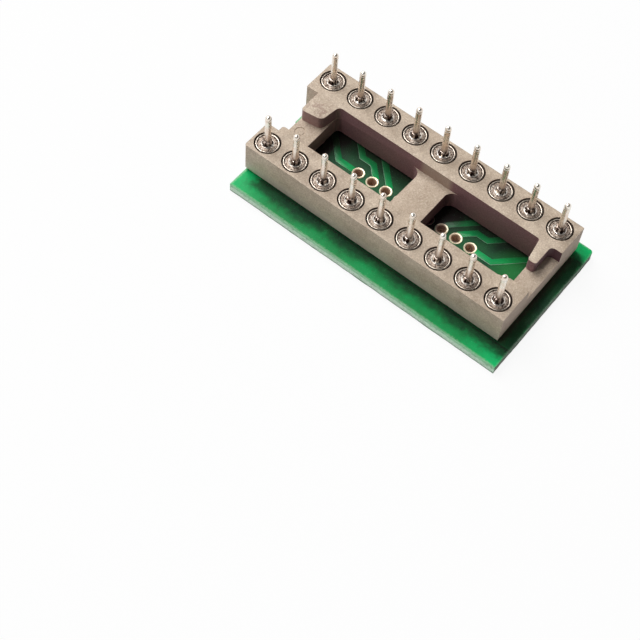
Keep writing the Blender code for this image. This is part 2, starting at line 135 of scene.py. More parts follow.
# %% A socket that can be used in arithmetic
class Wire:
    """One output of a node, in the tree that it belongs to."""

    def __init__(self, tree, socket=None):
        self.tree = tree
        self.socket = socket

    def node(self, kind, settings=None, inputs=None, output=0):
        """Add any node: its type, its settings, the values or links of its inputs."""
        made = self.tree.nodes.new(kind)
        for name, value in (settings or {}).items():
            setattr(made, name, value)
        for name, value in (inputs or {}).items():
            self.feed(made.inputs[name], value)
        return Wire(self.tree, made.outputs[output])

    def feed(self, target, value):
        if isinstance(value, Wire):
            self.tree.links.new(value.socket, target)
        else:
            target.default_value = value

    def math(self, operation, first, second=0.0):
        return self.node("ShaderNodeMath", {"operation": operation}, {0: first, 1: second})

    def __add__(self, other):
        return self.math("ADD", self, other)

    __radd__ = __add__

    def __sub__(self, other):
        return self.math("SUBTRACT", self, other)

    def __rsub__(self, other):
        return self.math("SUBTRACT", other, self)

    def __mul__(self, other):
        return self.math("MULTIPLY", self, other)

    __rmul__ = __mul__

    def __gt__(self, other):
        return self.math("GREATER_THAN", self, other)

    def __lt__(self, other):
        return self.math("LESS_THAN", self, other)


def grey(value):
    return (value, value, value, 1.0)


def colour(red, green, blue):
    """A colour written as it looks on a screen, from 0 to 255, as the shader wants it."""
    linear = []
    for channel in (red, green, blue):
        share = channel / 255
        linear.append(share / 12.92 if share <= 0.04045 else ((share + 0.055) / 1.055) ** 2.4)
    return (*linear, 1.0)


print("colour of half grey:", colour(128, 128, 128))

# %% [markdown]
# ## Helpers that every material uses
#
# A procedural pattern needs a scale. Object coordinates are in metres, so they are first
# turned into millimetres, and then a noise with a scale of 2 changes twice in a millimetre.

# %% Material helpers
def new_material(name):
    """A material with a Principled shader, and a wire in its tree."""
    material = bpy.data.materials.new(name)
    material.use_nodes = True
    return material, Wire(material.node_tree)


def feed_shader(material, inputs):
    """Give the material's shader its inputs by name, and hand the material back."""
    shader = material.node_tree.nodes["Principled BSDF"]
    for name, value in inputs.items():
        Wire(material.node_tree).feed(shader.inputs[name], value)
    return material


def millimetres(wire):
    """The place on the object, in millimetres."""
    place = wire.node("ShaderNodeTexCoord", output=3)
    return wire.node("ShaderNodeVectorMath", {"operation": "SCALE"},
                     {0: place, "Scale": 1 / MM})


def stretched(place, factors):
    """The same place with its axes stretched, for streaks."""
    return place.node("ShaderNodeVectorMath", {"operation": "MULTIPLY"},
                      {0: place, 1: factors})


def speckle(place, scale, detail=3.0, roughness=0.55):
    return place.node("ShaderNodeTexNoise", {"normalize": True},
                      {"Vector": place, "Scale": scale, "Detail": detail,
                       "Roughness": roughness})


def mix(factor, first, second):
    """Blend two colours."""
    return factor.node("ShaderNodeMix", {"data_type": "RGBA"},
                       {0: factor, 6: first, 7: second}, output=2)


def between(value, low, high, blend="LINEAR"):
    """Stretch a value so that low becomes 0 and high becomes 1, with the rest cut off."""
    return value.node("ShaderNodeMapRange", {"clamp": True, "interpolation_type": blend},
                      {"Value": value, "From Min": low, "From Max": high})


def inside(value, low, high, edge=0.04):
    """1 where a value lies between two limits, with soft edges."""
    return between(value, low - edge, low + edge) * between(value, high + edge, high - edge)


def larger(first, second):
    return first.math("MAXIMUM", first, second)


def parts(vector):
    """The X, Y and Z of a vector."""
    split = vector.node("ShaderNodeSeparateXYZ", inputs={0: vector})
    return [Wire(vector.tree, output) for output in split.socket.node.outputs]


def facing(wire):
    """The X, Y and Z of the direction that the surface faces."""
    return parts(wire.node("ShaderNodeNewGeometry", output=1))


def apart(side, ahead):
    """Distance in plan, from its part along X and its part along Y."""
    return side.math("SQRT", side * side + ahead * ahead)


def bump(height, depth, strength=1.0):
    """A normal from a height pattern. The depth is in metres."""
    return height.node("ShaderNodeBump", inputs={"Height": height, "Distance": depth,
                                                 "Strength": strength})


print("helpers ready")

# %% [markdown]
# ## The header plastic
#
# The header is moulded in a taupe, glass-filled plastic. Its skin is satin, with a fine
# grain and a faint mottle where the filler shows. The right end was sawn from a longer
# strip, so that face is paler and has fine saw marks. Shade is painted into the colour on
# the walls of the windows, most on walls that face right, away from the lamp, and in the
# pocket by the right tongue, as well as in the gaps round the pins and a little on the low
# bar tops. Painted light brightens the low part of the front face. The material finds these
# places by where a point lies on the header and by which way its face looks.

# %% Where the header's finish changes
FACE_MARGIN = 0.06
WINDOW_EDGE = 0.05
PIN_PITCH = 2.54
ROW_PITCH = 7.62
GAP_RADIUS = 1.0
header_left, header_front = header_low.x / MM, header_low.y / MM
header_right, header_back = header_high.x / MM, header_high.y / MM
window_low = Vector((header_left + 3.0, grid_centre.y / MM - 2.17))
window_high = Vector((header_right - 0.5, grid_centre.y / MM + 2.17))
middle_low = grid_centre.x / MM - 0.61
middle_high = grid_centre.x / MM + 1.96
bar_level = header_high.z / MM - 1.1
pocket_left = header_right - 1.0
tongue_scuff = Vector((header_left + 2.0, grid_centre.y / MM + 0.9))
print("windows lie between", window_low, "and", window_high, "mm")


# %% Header plastic
def from_pin(across, along):
    """Distance in plan from the axis of the nearest pin, found on the grid of the pins."""
    start = pin_places[LAST_PIN] / MM - Vector((PIN_PITCH, ROW_PITCH, 0.0)) / 2
    side = across.math("FLOORED_MODULO", across - start.x, PIN_PITCH) - PIN_PITCH / 2
    ahead = along.math("FLOORED_MODULO", along - start.y, ROW_PITCH) - ROW_PITCH / 2
    return apart(side, ahead)


def shaded_recess_walls(across, along, height, upwards):
    """1 where shade is painted: on the upright walls of the windows and beside the left tongue,
    less above the middle bar.
    """
    upright = between(upwards.math("ABSOLUTE", upwards), 0.8, 0.3)
    rows = inside(along, window_low.y - WINDOW_EDGE, window_high.y + WINDOW_EDGE)
    columns = inside(across, window_low.x, header_right + 0.3, 0.3)
    over_bar = inside(across, middle_low, middle_high, 0.2) * (height > bar_level)
    tongue = (across < window_low.x) * (height > bar_level) * inside(along, 0.2, 2.6)
    return upright * larger(rows * columns * (1.0 - over_bar * 0.7), tongue * 0.75)


def header_plastic():
    material, wire = new_material("header_plastic")
    place = millimetres(wire)
    across, along, height = parts(place)
    right, ahead, upwards = facing(wire)
    mottle = speckle(place, 0.7, 4.0)
    grain = speckle(place, 9.0, 3.0, 0.7)
    fine = speckle(place, 26.0, 2.0)
    scuff = speckle(place, 2.6, 4.0, 0.7)
    base = mix(between(mottle, 0.35, 0.65), colour(182, 163, 142), colour(202, 184, 163))
    base = mix(between(grain, 0.48, 0.66) * 0.50, base, colour(148, 126, 112))
    base = mix(between(grain, 0.44, 0.34) * 0.45, base, colour(232, 220, 202))
    base = mix(between(fine, 0.60, 0.70) * 0.50, base, colour(234, 224, 208))
    base = mix(between(fine, 0.40, 0.30) * 0.35, base, colour(140, 118, 106))
    # Painted shade on the low bar tops between the rails.
    shaded_low_tops = between(height, bar_level + 0.2, bar_level + 0.1) * (upwards > 0.8)
    base = mix(shaded_low_tops * 0.12, base, colour(158, 138, 122))
    near_scuff = between(apart(across - tongue_scuff.x, along - tongue_scuff.y), 1.5, 0.5)
    worn = near_scuff * between(scuff, 0.50, 0.58) * between(scuff, 0.68, 0.60)
    base = mix(worn * 0.65, base, colour(140, 108, 98))
    # Painted shade on the walls of the windows, darker on walls that face right, away from the
    # lamp, and darkest in the pocket by the right tongue.
    shaded_walls = shaded_recess_walls(across, along, height, upwards)
    wall_shade_tone = mix(between(grain, 0.35, 0.65), colour(136, 98, 104), colour(164, 126, 128))
    base = mix(shaded_walls, base, wall_shade_tone)
    base = mix(shaded_walls * between(right, 0.3, 0.8) * 0.6, base, colour(60, 34, 38))
    pocket_shade = shaded_walls * (height > bar_level) * between(across, pocket_left, pocket_left + 0.3)
    base = mix(pocket_shade * 0.85, base, colour(66, 36, 44))
    # Painted light on the low part of the front face.
    foot = between(ahead, -0.5, -0.8) * between(height, bar_level - 0.4, bar_level - 1.3)
    base = mix(foot * (along < window_low.y - 1.0) * 0.6, base, colour(236, 218, 206))
    # Painted shade in the gaps round the pins.
    base = mix(from_pin(across, along) < GAP_RADIUS, base, colour(80, 66, 56))
    sawn = (across > header_right - FACE_MARGIN) * (right > 0.6)
    marks = speckle(stretched(place, (1.0, 0.6, 9.0)), 2.2, 3.0, 0.6)
    base = mix(sawn, base, mix(marks, colour(174, 150, 134), colour(220, 202, 186)))
    relief = grain * 0.6 + fine * 0.25 + sawn * marks * 1.6 + worn * 0.8
    return feed_shader(material, {
        "Base Color": base, "Roughness": grain * 0.18 + sawn * 0.15 + 0.44,
        "Normal": bump(relief, 0.014 * MM, 0.8), "Specular IOR Level": 0.40})


plastic = header_plastic()
print("made", plastic.name)

# %% [markdown]
# ## The board's finishes
#
# The solder mask is a glossy green lacquer. Its light and shade are painted into its colour.
# It is painted bright green where the board reaches out past the header, as if light from a
# pale table got into the thin board from its rim, and painted dark under the header, along its
# front foot, beside the bars and in the far corners of the windows. On the land face it is
# painted bright along the rim and dark in the middle. Beside the sawn end a painted reflection
# of the brown header darkens it, a painted highlight runs along the traces' front shoulders,
# and painted light brightens the right end of the right window. Where it covers copper it is
# lighter, because the metal under it throws light back. Its rim is frayed and pale from
# snapping and filing, and is painted less pale on the right, where it lies in shade. The cut
# edge shows the bare glass-fibre laminate, which is pale and rough at the front, with a
# painted contact shadow low down, and is painted darker on the right, where it faces away
# from the lamp.

# %% Where the board is shaded by the header
SHADE_RIGHT = header_right + 0.92
SHADE_LEFT = header_left + 1.70
SHADE_BACK = header_back - 0.90
SHADE_FRONT = header_front - 0.42
LAMINATE_MIDDLE = 0.45
RIM_FRAY = 0.16
END_GLOW = 8.5
board_plan = (board_low.x / MM, board_high.x / MM, board_low.y / MM, board_high.y / MM)


def bar_shade(across, along):
    """1 on the strip of each window beside the bar on its left, which gets no light."""
    beside = larger(inside(across, window_low.x - 0.5, window_low.x + 1.0, 0.2),
                    inside(across, middle_high - 0.5, middle_high + 1.1, 0.2))
    return beside * inside(along, window_low.y - 0.3, window_high.y + 0.3, 0.1)


def outside_of(across, along, low_x, high_x, low_y, high_y):
    """How far a point lies outside a rectangle in plan. It is negative inside."""
    return larger(larger(across - high_x, low_x - across),
                  larger(along - high_y, low_y - along))


print("mask is dark up to X", SHADE_RIGHT, "mm")


# %% Solder mask
def solder_mask(name, shaded, lit, gloss):
    """The painted shaded and the painted lit finish are each a pair of colours that a cloud
    blends.
    """
    material, wire = new_material(name)
    place = millimetres(wire)
    across, along, height = parts(place)
    cloud = between(speckle(place, 0.6, 3.0), 0.3, 0.7)
    weave = speckle(stretched(place, (1.0, 1.0, 0.2)), 5.0, 2.0)
    peel = speckle(place, 2.4, 2.0)
    dust = speckle(place, 22.0, 1.0)
    fray = speckle(place, 7.0, 3.0, 0.6)
    header_face = height > LAMINATE_MIDDLE
    # Painted light and shade: the header face is painted lit beyond the header's shade and
    # shaded under it.
    out = outside_of(across, along, SHADE_LEFT, SHADE_RIGHT, SHADE_FRONT, SHADE_BACK)
    glow = between(out + cloud * 0.4 + peel * 0.45 - 0.38, 0.0, 0.95, "SMOOTHSTEP")
    rim = outside_of(across, along, *board_plan)
    # On the land face the painted light lies along the rim, and the middle is painted shaded.
    land_glow = between(rim + cloud * 1.2, -3.4, -0.4, "SMOOTHSTEP")
    glow = glow * header_face + land_glow * (1.0 - header_face)
    shade = (1.0 - glow) * header_face
    # The painted lit green is brighter towards both ends of the board.
    ends = between(across.math("ABSOLUTE", across), END_GLOW, board_high.x / MM)
    base = mix(glow, mix(cloud, *shaded), mix(cloud * 0.3 + ends * 0.7, *lit))
    # Painted shade in the far corners of the windows and beside the bars, where little light
    # falls.
    corner = wire.math("MINIMUM",
                       apart(across - (middle_high + 0.3), along - window_high.y),
                       apart(across - (window_low.x + 0.2), along - window_high.y))
    deep_shade = larger(between(along, window_high.y - 1.5, window_high.y),
                  between(corner, 2.8, 1.2) * 1.15)
    deep_shade = larger(deep_shade * 0.8, bar_shade(across, along) * 0.94)
    deep_shade = deep_shade * shade * (across < header_right - 0.5)
    base = mix(deep_shade, base, colour(26, 10, 16))
    # A ragged painted shadow along the header's front foot.
    ragged_shadow = between(along - fray * 0.9, header_front - 0.75, header_front - 0.50)
    base = mix(ragged_shadow * (along < header_front) * shade * 0.75, base, colour(22, 16, 16))
    # A painted reflection of the brown header in the mask beside its sawn end.
    mirrored = between(across + fray * 0.8, header_right + 0.90, header_right + 0.45)
    mirrored = mirrored * (across > header_right)
    mirrored = mirrored * between(along, header_front, header_front + 0.4)
    base = mix(mirrored * shade * 0.7, base, colour(62, 34, 34))
    # Painted light in the right end of the right window.
    opening = apart(across - (header_right - 2.6), along - (window_low.y + 2.7))
    base = mix(between(opening, 1.9, 0.5) * header_face * 0.35, base, colour(30, 150, 60))
    # A painted highlight on the trace shoulders that face the front.
    right, ahead, upwards = facing(wire)
    shoulder_highlight = inside(upwards, 0.2, 0.85, 0.1) * between(ahead, -0.3, -0.6)
    base = mix(shoulder_highlight * header_face * (1.0 - deep_shade) * 0.8, base, colour(214, 244, 224))
    base = mix(between(weave, 0.5, 0.8) * 0.20, base, grey(0.02))
    base = mix(between(dust, 0.70, 0.76) * 0.35, base, colour(150, 215, 175))
    # The rim is frayed and pale; it is painted less pale on the right, where it lies in shade.
    paler = 0.55 - between(across, SHADE_RIGHT - 0.4, SHADE_RIGHT) * 0.30
    frayed = between(rim + fray * 0.30, 0.0, RIM_FRAY)
    base = mix(frayed * paler, base, colour(170, 206, 174))
    return feed_shader(material, {
        "Base Color": base, "Roughness": dust * 0.10 + gloss,
        "Normal": bump(peel + weave * 0.3, 0.010 * MM, 0.6),
        "Specular IOR Level": 0.20, "Coat Weight": 0.04, "Coat Roughness": 0.12})


# Each mask gets a painted shaded pair of greens, then a painted lit pair.
mask = solder_mask("solder_mask", (colour(15, 60, 38), colour(27, 88, 48)),
                   (colour(0, 126, 60), colour(0, 192, 108)), 0.34)
mask_on_copper = solder_mask("mask_on_copper", (colour(0, 134, 72), colour(30, 160, 88)),
                             (colour(40, 170, 100), colour(80, 200, 130)), 0.26)
print("made", mask.name, mask_on_copper.name)


# %% Laminate
def bare_laminate():
    material, wire = new_material("bare_laminate")
    place = millimetres(wire)
    height = parts(place)[2]
    fibre = speckle(stretched(place, (0.7, 0.7, 14.0)), 1.6, 4.0, 0.7)
    chip = speckle(place, 6.0, 3.0)
    base = mix(between(fibre, 0.35, 0.68), colour(190, 232, 198), colour(238, 255, 240))
    upper = between(height + chip * 0.30, 0.62, 0.80)
    base = mix(upper * 0.85, base, colour(142, 212, 160))
    base = mix(between(chip, 0.56, 0.68) * 0.45, base, colour(110, 138, 114))
    # A painted contact shadow low on the edge.
    contact_shadow = between(height + chip * 0.16, 0.28, 0.16)
    base = mix(contact_shadow * 0.7, base, colour(88, 104, 88))
    # Painted shade on the edge that faces right, away from the lamp.
    base = mix(between(facing(wire)[0], 0.4, 0.8) * 0.8, base, colour(84, 90, 78))
    return feed_shader(material, {"Base Color": base, "Roughness": 0.75,
                                  "Normal": bump(fibre + chip * 0.5, 0.03 * MM)})


laminate = bare_laminate()
print("made", laminate.name)

# %% [markdown]
# ## The metals
#
# The lands and the rings round the plated holes are tinned: cream-coloured, with a pinkish
# mottle where the flux has dried, and painted shade on the rings beside the bars. The pins
# are turned from brass and plated, so they carry fine lathe rings and a gold tint where the
# plating is thin. Painted light is in their colour too: a pinkish painted reflection of the
# header low on each pin, painted dark reflections on the collar, painted glints and a painted
# highlight on the flange's face, and painted shade in its groove and round the collar's foot.
# Solder is bright and uneven.

# %% Plated copper and solder
def plated_land():
    material, wire = new_material("plated_land")
    place = millimetres(wire)
    across, along, height = parts(place)
    stain = speckle(place, 1.6, 4.0, 0.6)
    fine = speckle(place, 14.0, 2.0)
    base = mix(between(stain, 0.35, 0.7), colour(248, 238, 208), colour(236, 208, 178))
    base = mix(between(fine, 0.6, 0.75) * 0.4, base, colour(205, 160, 140))
    barrel = inside(height, board_low.z / MM - 0.02, board_high.z / MM - 0.01, 0.015)
    dull = mix(between(fine, 0.35, 0.65), colour(150, 116, 92), colour(206, 176, 150))
    base = mix(barrel, base, dull)
    in_shade = bar_shade(across, along) * (height > LAMINATE_MIDDLE)
    darker = 0.95 - between(across, middle_high + 0.3, middle_high + 0.7) * 0.35
    base = mix(in_shade * darker, base, colour(92, 56, 64))
    return feed_shader(material, {
        "Base Color": base, "Roughness": stain * 0.2 + barrel * 0.3 + 0.32,
        "Normal": bump(stain + fine * 0.4, 0.008 * MM, 0.7),
        "Metallic": 0.75 - barrel * 0.55})


def bright_solder():
    material, wire = new_material("bright_solder")
    wave = speckle(millimetres(wire), 2.5, 3.0)
    return feed_shader(material, {
        "Base Color": mix(wave, colour(196, 196, 196), colour(224, 222, 216)),
        "Roughness": wave * 0.25 + 0.18, "Metallic": 1.0,
        "Normal": bump(wave, 0.02 * MM)})


land_metal = plated_land()
solder = bright_solder()
print("made", land_metal.name, solder.name)

# %% Turned metal
BEAD_INSIDE = 0.76
face_level = header_high.z / MM - 0.05


def turned_metal():
    material, wire = new_material("turned_metal")
    place = millimetres(wire)
    across, along, height = parts(place)
    radius = from_pin(across, along)
    patch = speckle(place, 1.3, 3.0)
    rings = speckle(stretched(place, (0.5, 0.5, 16.0)), 1.5, 3.0, 0.7)
    grime = speckle(place, 8.0, 3.0, 0.7)
    streaks = speckle(stretched(place, (1.0, 1.0, 0.15)), 5.0, 2.0, 0.6)
    base = mix(between(patch, 0.38, 0.66), colour(242, 238, 228), colour(240, 222, 206))
    base = mix(between(grime, 0.54, 0.72) * 0.3, base, colour(150, 126, 114))
    # A pinkish painted reflection of the header, low on the pin.
    low = between(height, face_level + 1.5, face_level + 0.7)
    base = mix(low * 0.35, base, colour(176, 146, 136))
    # Painted dark reflections in streaks round the collar.
    collar = between(height, face_level + 0.70, face_level + 0.35)
    base = mix(collar * between(streaks, 0.53, 0.48), base, colour(56, 36, 30))
    face = mix(between(grime, 0.43, 0.54), colour(78, 62, 56), colour(178, 162, 147))
    # Painted glints in flecks on the flange's face.
    face = mix(between(streaks, 0.56, 0.64) * 0.6, face, colour(226, 216, 204))
    lathe_ring = between(radius.math("PINGPONG", radius, 0.065), 0.024, 0.008)
    face = mix(lathe_ring * 0.5, face, colour(96, 78, 70))
    # A painted highlight: the inner cone round the collar is painted nearly white.
    face = mix(between(radius, 0.49, 0.46), face, colour(244, 236, 226))
    # Painted shade round the foot of the collar.
    collar_foot_shade = between(radius, 0.46, 0.40) * between(streaks, 0.56, 0.50)
    face = mix(collar_foot_shade, face, colour(60, 40, 34))
    # Painted shade in the groove inside the bead.
    groove = inside(radius, BEAD_INSIDE - 0.04, BEAD_INSIDE + 0.01, 0.012)
    face = mix(groove * 0.8, face, colour(66, 52, 46))
    bead = mix(between(grime, 0.42, 0.56), colour(160, 146, 134), colour(214, 202, 188))
    face = mix(between(radius, BEAD_INSIDE + 0.01, BEAD_INSIDE + 0.03), face, bead)
    on_face = between(height, face_level + 0.20, face_level + 0.14)
    flat_face = on_face * inside(radius, 0.50, BEAD_INSIDE, 0.02)
    relief = rings * 0.5 + grime * 0.4 + on_face * grime * 0.8 + collar * streaks * 0.8
    return feed_shader(material, {
        "Base Color": mix(on_face, base, face), "Metallic": 0.92,
        "Roughness": grime * 0.20 + low * 0.06 + flat_face * 0.22 + 0.16,
        "Normal": bump(relief, 0.008 * MM, 0.8)})


pin_metal = turned_metal()
print("made", pin_metal.name)

# %% [markdown]
# ## Mesh helpers
#
# Most pieces here are either flat outlines given a thickness, or turned shapes. Both start
# as a few points in a bmesh. One is filled and extruded, the other is spun round its axis.

# %% Outlines
MERGE_DISTANCE = 0.0005 * MM


def arc(centre, radius, start, end, steps):
    """Points on an arc, both ends included."""
    points = []
    for step in range(steps + 1):
        angle = start + (end - start) * step / steps
        points.append(centre + radius * Vector((math.cos(angle), math.sin(angle))))
    return points


def rounded_outline(corners, steps=8):
    """A closed outline from (x, y, radius) corners, each fillet drawn as an arc."""
    outline = []
    for index, (x, y, radius) in enumerate(corners):
        corner = Vector((x, y))
        if radius == 0:
            outline.append(corner)
            continue
        before = (Vector(corners[index - 1][:2]) - corner).normalized()
        after = (Vector(corners[(index + 1) % len(corners)][:2]) - corner).normalized()
        half_angle = before.angle(after) / 2
        centre = corner + (before + after).normalized() * radius / math.sin(half_angle)
        first = corner + before * radius / math.tan(half_angle) - centre
        last = corner + after * radius / math.tan(half_angle) - centre
        start = math.atan2(first.y, first.x)
        outline += arc(centre, radius, start, start - first.angle_signed(last), steps)
    return outline


def circle(centre, radius, sides=32):
    return arc(centre, radius, 0.0, 2 * math.pi, sides)[:-1]


def flat(vector):
    return Vector((vector.x, vector.y))


def loop_edges(work, points, height):
    """A closed ring of edges through the points."""
    verts = [work.verts.new((point.x, point.y, height)) for point in points]
    return [work.edges.new(pair) for pair in zip(verts, verts[1:] + verts[:1])]


print("a circle has", len(circle(Vector((0.0, 0.0)), MM)), "points")


# %% Solids from outlines and profiles
def thicken(work, faces, depth):
    """Extrude flat faces upwards into a closed solid."""
    raised = bmesh.ops.extrude_face_region(work, geom=faces, use_keep_orig=True)["geom"]
    verts = [element for element in raised if isinstance(element, bmesh.types.BMVert)]
    bmesh.ops.translate(work, verts=verts, vec=(0.0, 0.0, depth))
    bmesh.ops.recalc_face_normals(work, faces=work.faces)


def pierced_plate(outline, holes, bottom, top):
    """A plate whose outline is filled round its holes and extruded."""
    work = bmesh.new()
    edges = loop_edges(work, outline, bottom)
    for hole in holes:
        edges += loop_edges(work, hole, bottom)
    filled = bmesh.ops.triangle_fill(work, edges=edges, use_beauty=True, normal=(0, 0, 1))
    faces = [element for element in filled["geom"] if isinstance(element, bmesh.types.BMFace)]
    thicken(work, faces, top - bottom)
    return work


def solid_plate(outline, bottom, top):
    """A plate without holes, as one filled face that is extruded."""
    work = bmesh.new()
    edges = loop_edges(work, outline, bottom)
    thicken(work, bmesh.ops.contextual_create(work, geom=edges)["faces"], top - bottom)
    return work


def spun(profile, centre, sides, closed=False):
    """Spin (radius, height) points round a vertical axis. A closed profile makes a ring."""
    work = bmesh.new()
    verts = [work.verts.new((centre.x + radius, centre.y, height)) for radius, height in profile]
    ends = verts[1:] + verts[:1] if closed else verts[1:]
    edges = [work.edges.new(pair) for pair in zip(verts, ends)]
    bmesh.ops.spin(work, geom=verts + edges, cent=(centre.x, centre.y, 0.0), axis=(0, 0, 1),
                   angle=2 * math.pi, steps=sides, use_merge=True)
    bmesh.ops.remove_doubles(work, verts=work.verts, dist=MERGE_DISTANCE)
    bmesh.ops.recalc_face_normals(work, faces=work.faces)
    return work


def round_rims(work, height, radius, segments=2):
    """Round the edges of a plate that lie at a height and turn a corner."""
    rim = []
    for edge in work.edges:
        level = all(abs(vert.co.z - height) < 0.001 * MM for vert in edge.verts)
        if level and edge.calc_face_angle(0.0) > math.radians(60):
            rim.append(edge)
    bmesh.ops.bevel(work, geom=rim, offset=radius, offset_type="OFFSET", segments=segments,
                    profile=0.5, affect="EDGES", clamp_overlap=True, material=-1)


def merge(work, piece):
    """Add one bmesh to another, and free it."""
    mesh = bpy.data.meshes.new("piece")
    piece.to_mesh(mesh)
    piece.free()
    work.from_mesh(mesh)
    bpy.data.meshes.remove(mesh)


print("solid helpers ready")


# %% Finished pieces
def finish_mesh(name, work, material, smooth_angle=40.0):
    """Turn a bmesh into an object at the origin, shaded smooth up to an angle."""
    mesh = bpy.data.meshes.new(name)
    work.to_mesh(mesh)
    work.free()
    mesh.materials.append(material)
    mesh.shade_smooth()
    mesh.set_sharp_from_angle(angle=math.radians(smooth_angle))
    piece = bpy.data.objects.new(name, mesh)
    bpy.context.scene.collection.objects.link(piece)
    return piece


def place_piece(piece, slot, *nodes):
    """Attach a finished piece to the root and hide the nodes that it replaces. The slot is not
    used.
    """
    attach(piece, "root")
    if nodes:
        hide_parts(*nodes)
    return piece


print("piece helpers ready")

# %% [markdown]
# ## The header moulding
#
# The real header is a length cut from a long moulded strip: two rails round the pins, held
# together by low bars. It is modelled as the mould makes it. A low layer carries the bars,
# and each rail is a flat outline with its tongues and lugs. They are joined, and a bevel just
# breaks their edges. Its width may go up to EDGE_ROUNDING, but Blender clamps it far below
# that here, because the joins leave some very short edges, so the edges stay nearly sharp.
# The stepped bores and the mould's round mark are cut last.

# %% Sizes of the header
RAIL_OUTER_WALL = 1.19 * MM
RAIL_INNER_WALL = 1.64 * MM
BAR_DROP = 1.10 * MM
LEFT_BAR_RECESS = 1.04 * MM
LEFT_BAR_WIDTH = 2.00 * MM
MIDDLE_BAR_OFFSET = 0.675 * MM
MIDDLE_BAR_WIDTH = 2.57 * MM
MIDDLE_BAR_ROOT = 0.70 * MM
MIDDLE_BAR_SKEW = 0.12 * MM
RIGHT_BAR_WIDTH = 1.57 * MM
LEFT_TONGUE_LENGTH = 2.03 * MM
LEFT_TONGUE_SKEW = 0.24 * MM
LEFT_TONGUE_TAPER = 0.25 * MM
RIGHT_TONGUE_LENGTH = 1.95 * MM
RIGHT_TONGUE_WIDTH = 0.66 * MM
RIGHT_TONGUE_FLARE = 0.32 * MM
TONGUE_RADIUS = 0.50 * MM
TONGUE_CORNER = 0.22 * MM
TONGUE_ROOT = 0.38 * MM
LUG_STEP = 0.29 * MM
LUG_WIDTH = 1.25 * MM
LUG_RADIUS = 0.22 * MM
END_RELIEF = 0.24 * MM
CORNER_RADIUS = 0.18 * MM
EDGE_ROUNDING = 0.07 * MM

row_offset = (pin_places[1].y - pin_places[LAST_PIN].y) / 2
rail_inner = row_offset - RAIL_INNER_WALL
rail_outer = row_offset + RAIL_OUTER_WALL
middle_y = grid_centre.y
left_bar = header_low.x + LEFT_BAR_RECESS
left_window = left_bar + LEFT_BAR_WIDTH
right_bar = header_high.x - RIGHT_BAR_WIDTH
bar_top = header_high.z - BAR_DROP
print("rail inner edges", rail_inner / MM, "mm from the middle")


# %% Outlines of the rails and of the low layer
def header_outline(corners, side=1):
    """An outline whose Y counts from the header's middle line. Side -1 is the front half."""
    return rounded_outline([(x, middle_y + side * y, radius) for x, y, radius in corners])


def back_rail():
    """The rail of pins 1 to 9, with a tongue over the left and the right bar."""
    left_tip = rail_inner - LEFT_TONGUE_LENGTH
    right_tip = rail_inner - RIGHT_TONGUE_LENGTH
    right_edge = right_bar + RIGHT_TONGUE_WIDTH
    left_corner = left_window - LEFT_TONGUE_TAPER
    flare = right_bar - RIGHT_TONGUE_FLARE
    return header_outline([
        (header_high.x, rail_outer, 0),
        (header_low.x, rail_outer, CORNER_RADIUS),
        (header_low.x, rail_inner, 0),
        (left_bar, rail_inner, 0),
        (left_bar, left_tip, TONGUE_CORNER),
        (left_corner, left_tip + LEFT_TONGUE_SKEW, TONGUE_RADIUS),
        (left_window, rail_inner, TONGUE_ROOT),
        (flare, rail_inner, TONGUE_CORNER),
        (right_bar, right_tip, TONGUE_CORNER),
        (right_edge, right_tip, TONGUE_CORNER),
        (right_edge, rail_inner, TONGUE_ROOT),
        (header_high.x, rail_inner, 0),
    ])


def front_rail():
    """The rail of pins 10 to 18, with a small lug at each end."""
    lug = rail_inner - LUG_STEP
    relief = rail_inner + END_RELIEF
    return header_outline([
        (header_high.x, rail_outer, 0),
        (header_low.x, rail_outer, CORNER_RADIUS),
        (header_low.x, relief, 0),
        (left_bar, relief, 0),
        (left_bar, lug, LUG_RADIUS),
        (left_bar + LUG_WIDTH, lug, LUG_RADIUS),
        (left_bar + LUG_WIDTH + LUG_STEP, rail_inner, LUG_RADIUS),
        (right_bar - LUG_WIDTH / 2 - LUG_STEP, rail_inner, LUG_RADIUS),
        (right_bar, lug, LUG_RADIUS),
        (header_high.x, lug, 0),
    ], -1)


def low_layer():
    """The lower half of the header, with a notch in its left end."""
    relief = rail_inner + END_RELIEF
    return header_outline([
        (header_high.x, rail_outer, 0),
        (header_low.x, rail_outer, CORNER_RADIUS),
        (header_low.x, rail_inner, 0),
        (left_bar, rail_inner, 0),
        (left_bar, -relief, 0),
        (header_low.x, -relief, 0),
        (header_low.x, -rail_outer, CORNER_RADIUS),
        (header_high.x, -rail_outer, 0),
    ])


def window_outlines():
    """The two windows, on either side of the middle bar."""
    middle_bar = grid_centre.x + MIDDLE_BAR_OFFSET
    middle_left = middle_bar - MIDDLE_BAR_WIDTH / 2
    middle_right = middle_bar + MIDDLE_BAR_WIDTH / 2
    outlines = []
    for low, high, low_root, high_root, skew in (
            (left_window, middle_left, TONGUE_ROOT, MIDDLE_BAR_ROOT, MIDDLE_BAR_SKEW),
            (middle_right, right_bar, MIDDLE_BAR_ROOT, TONGUE_ROOT, 0.0)):
        outlines.append(header_outline([
            (low, -rail_inner, 0),
            (high - skew, -rail_inner, 0),
            (high, rail_inner, high_root),
            (low, rail_inner, low_root),
        ]))
    return outlines


print("rail outline has", len(back_rail()), "points")


# %% Join and cut solids
def settle(piece):
    """Keep what a piece's modifiers make as its own mesh."""
    bpy.context.view_layer.update()
    evaluated = piece.evaluated_get(bpy.context.evaluated_depsgraph_get())
    mesh = bpy.data.meshes.new_from_object(evaluated)
    piece.modifiers.clear()
    piece.data = mesh


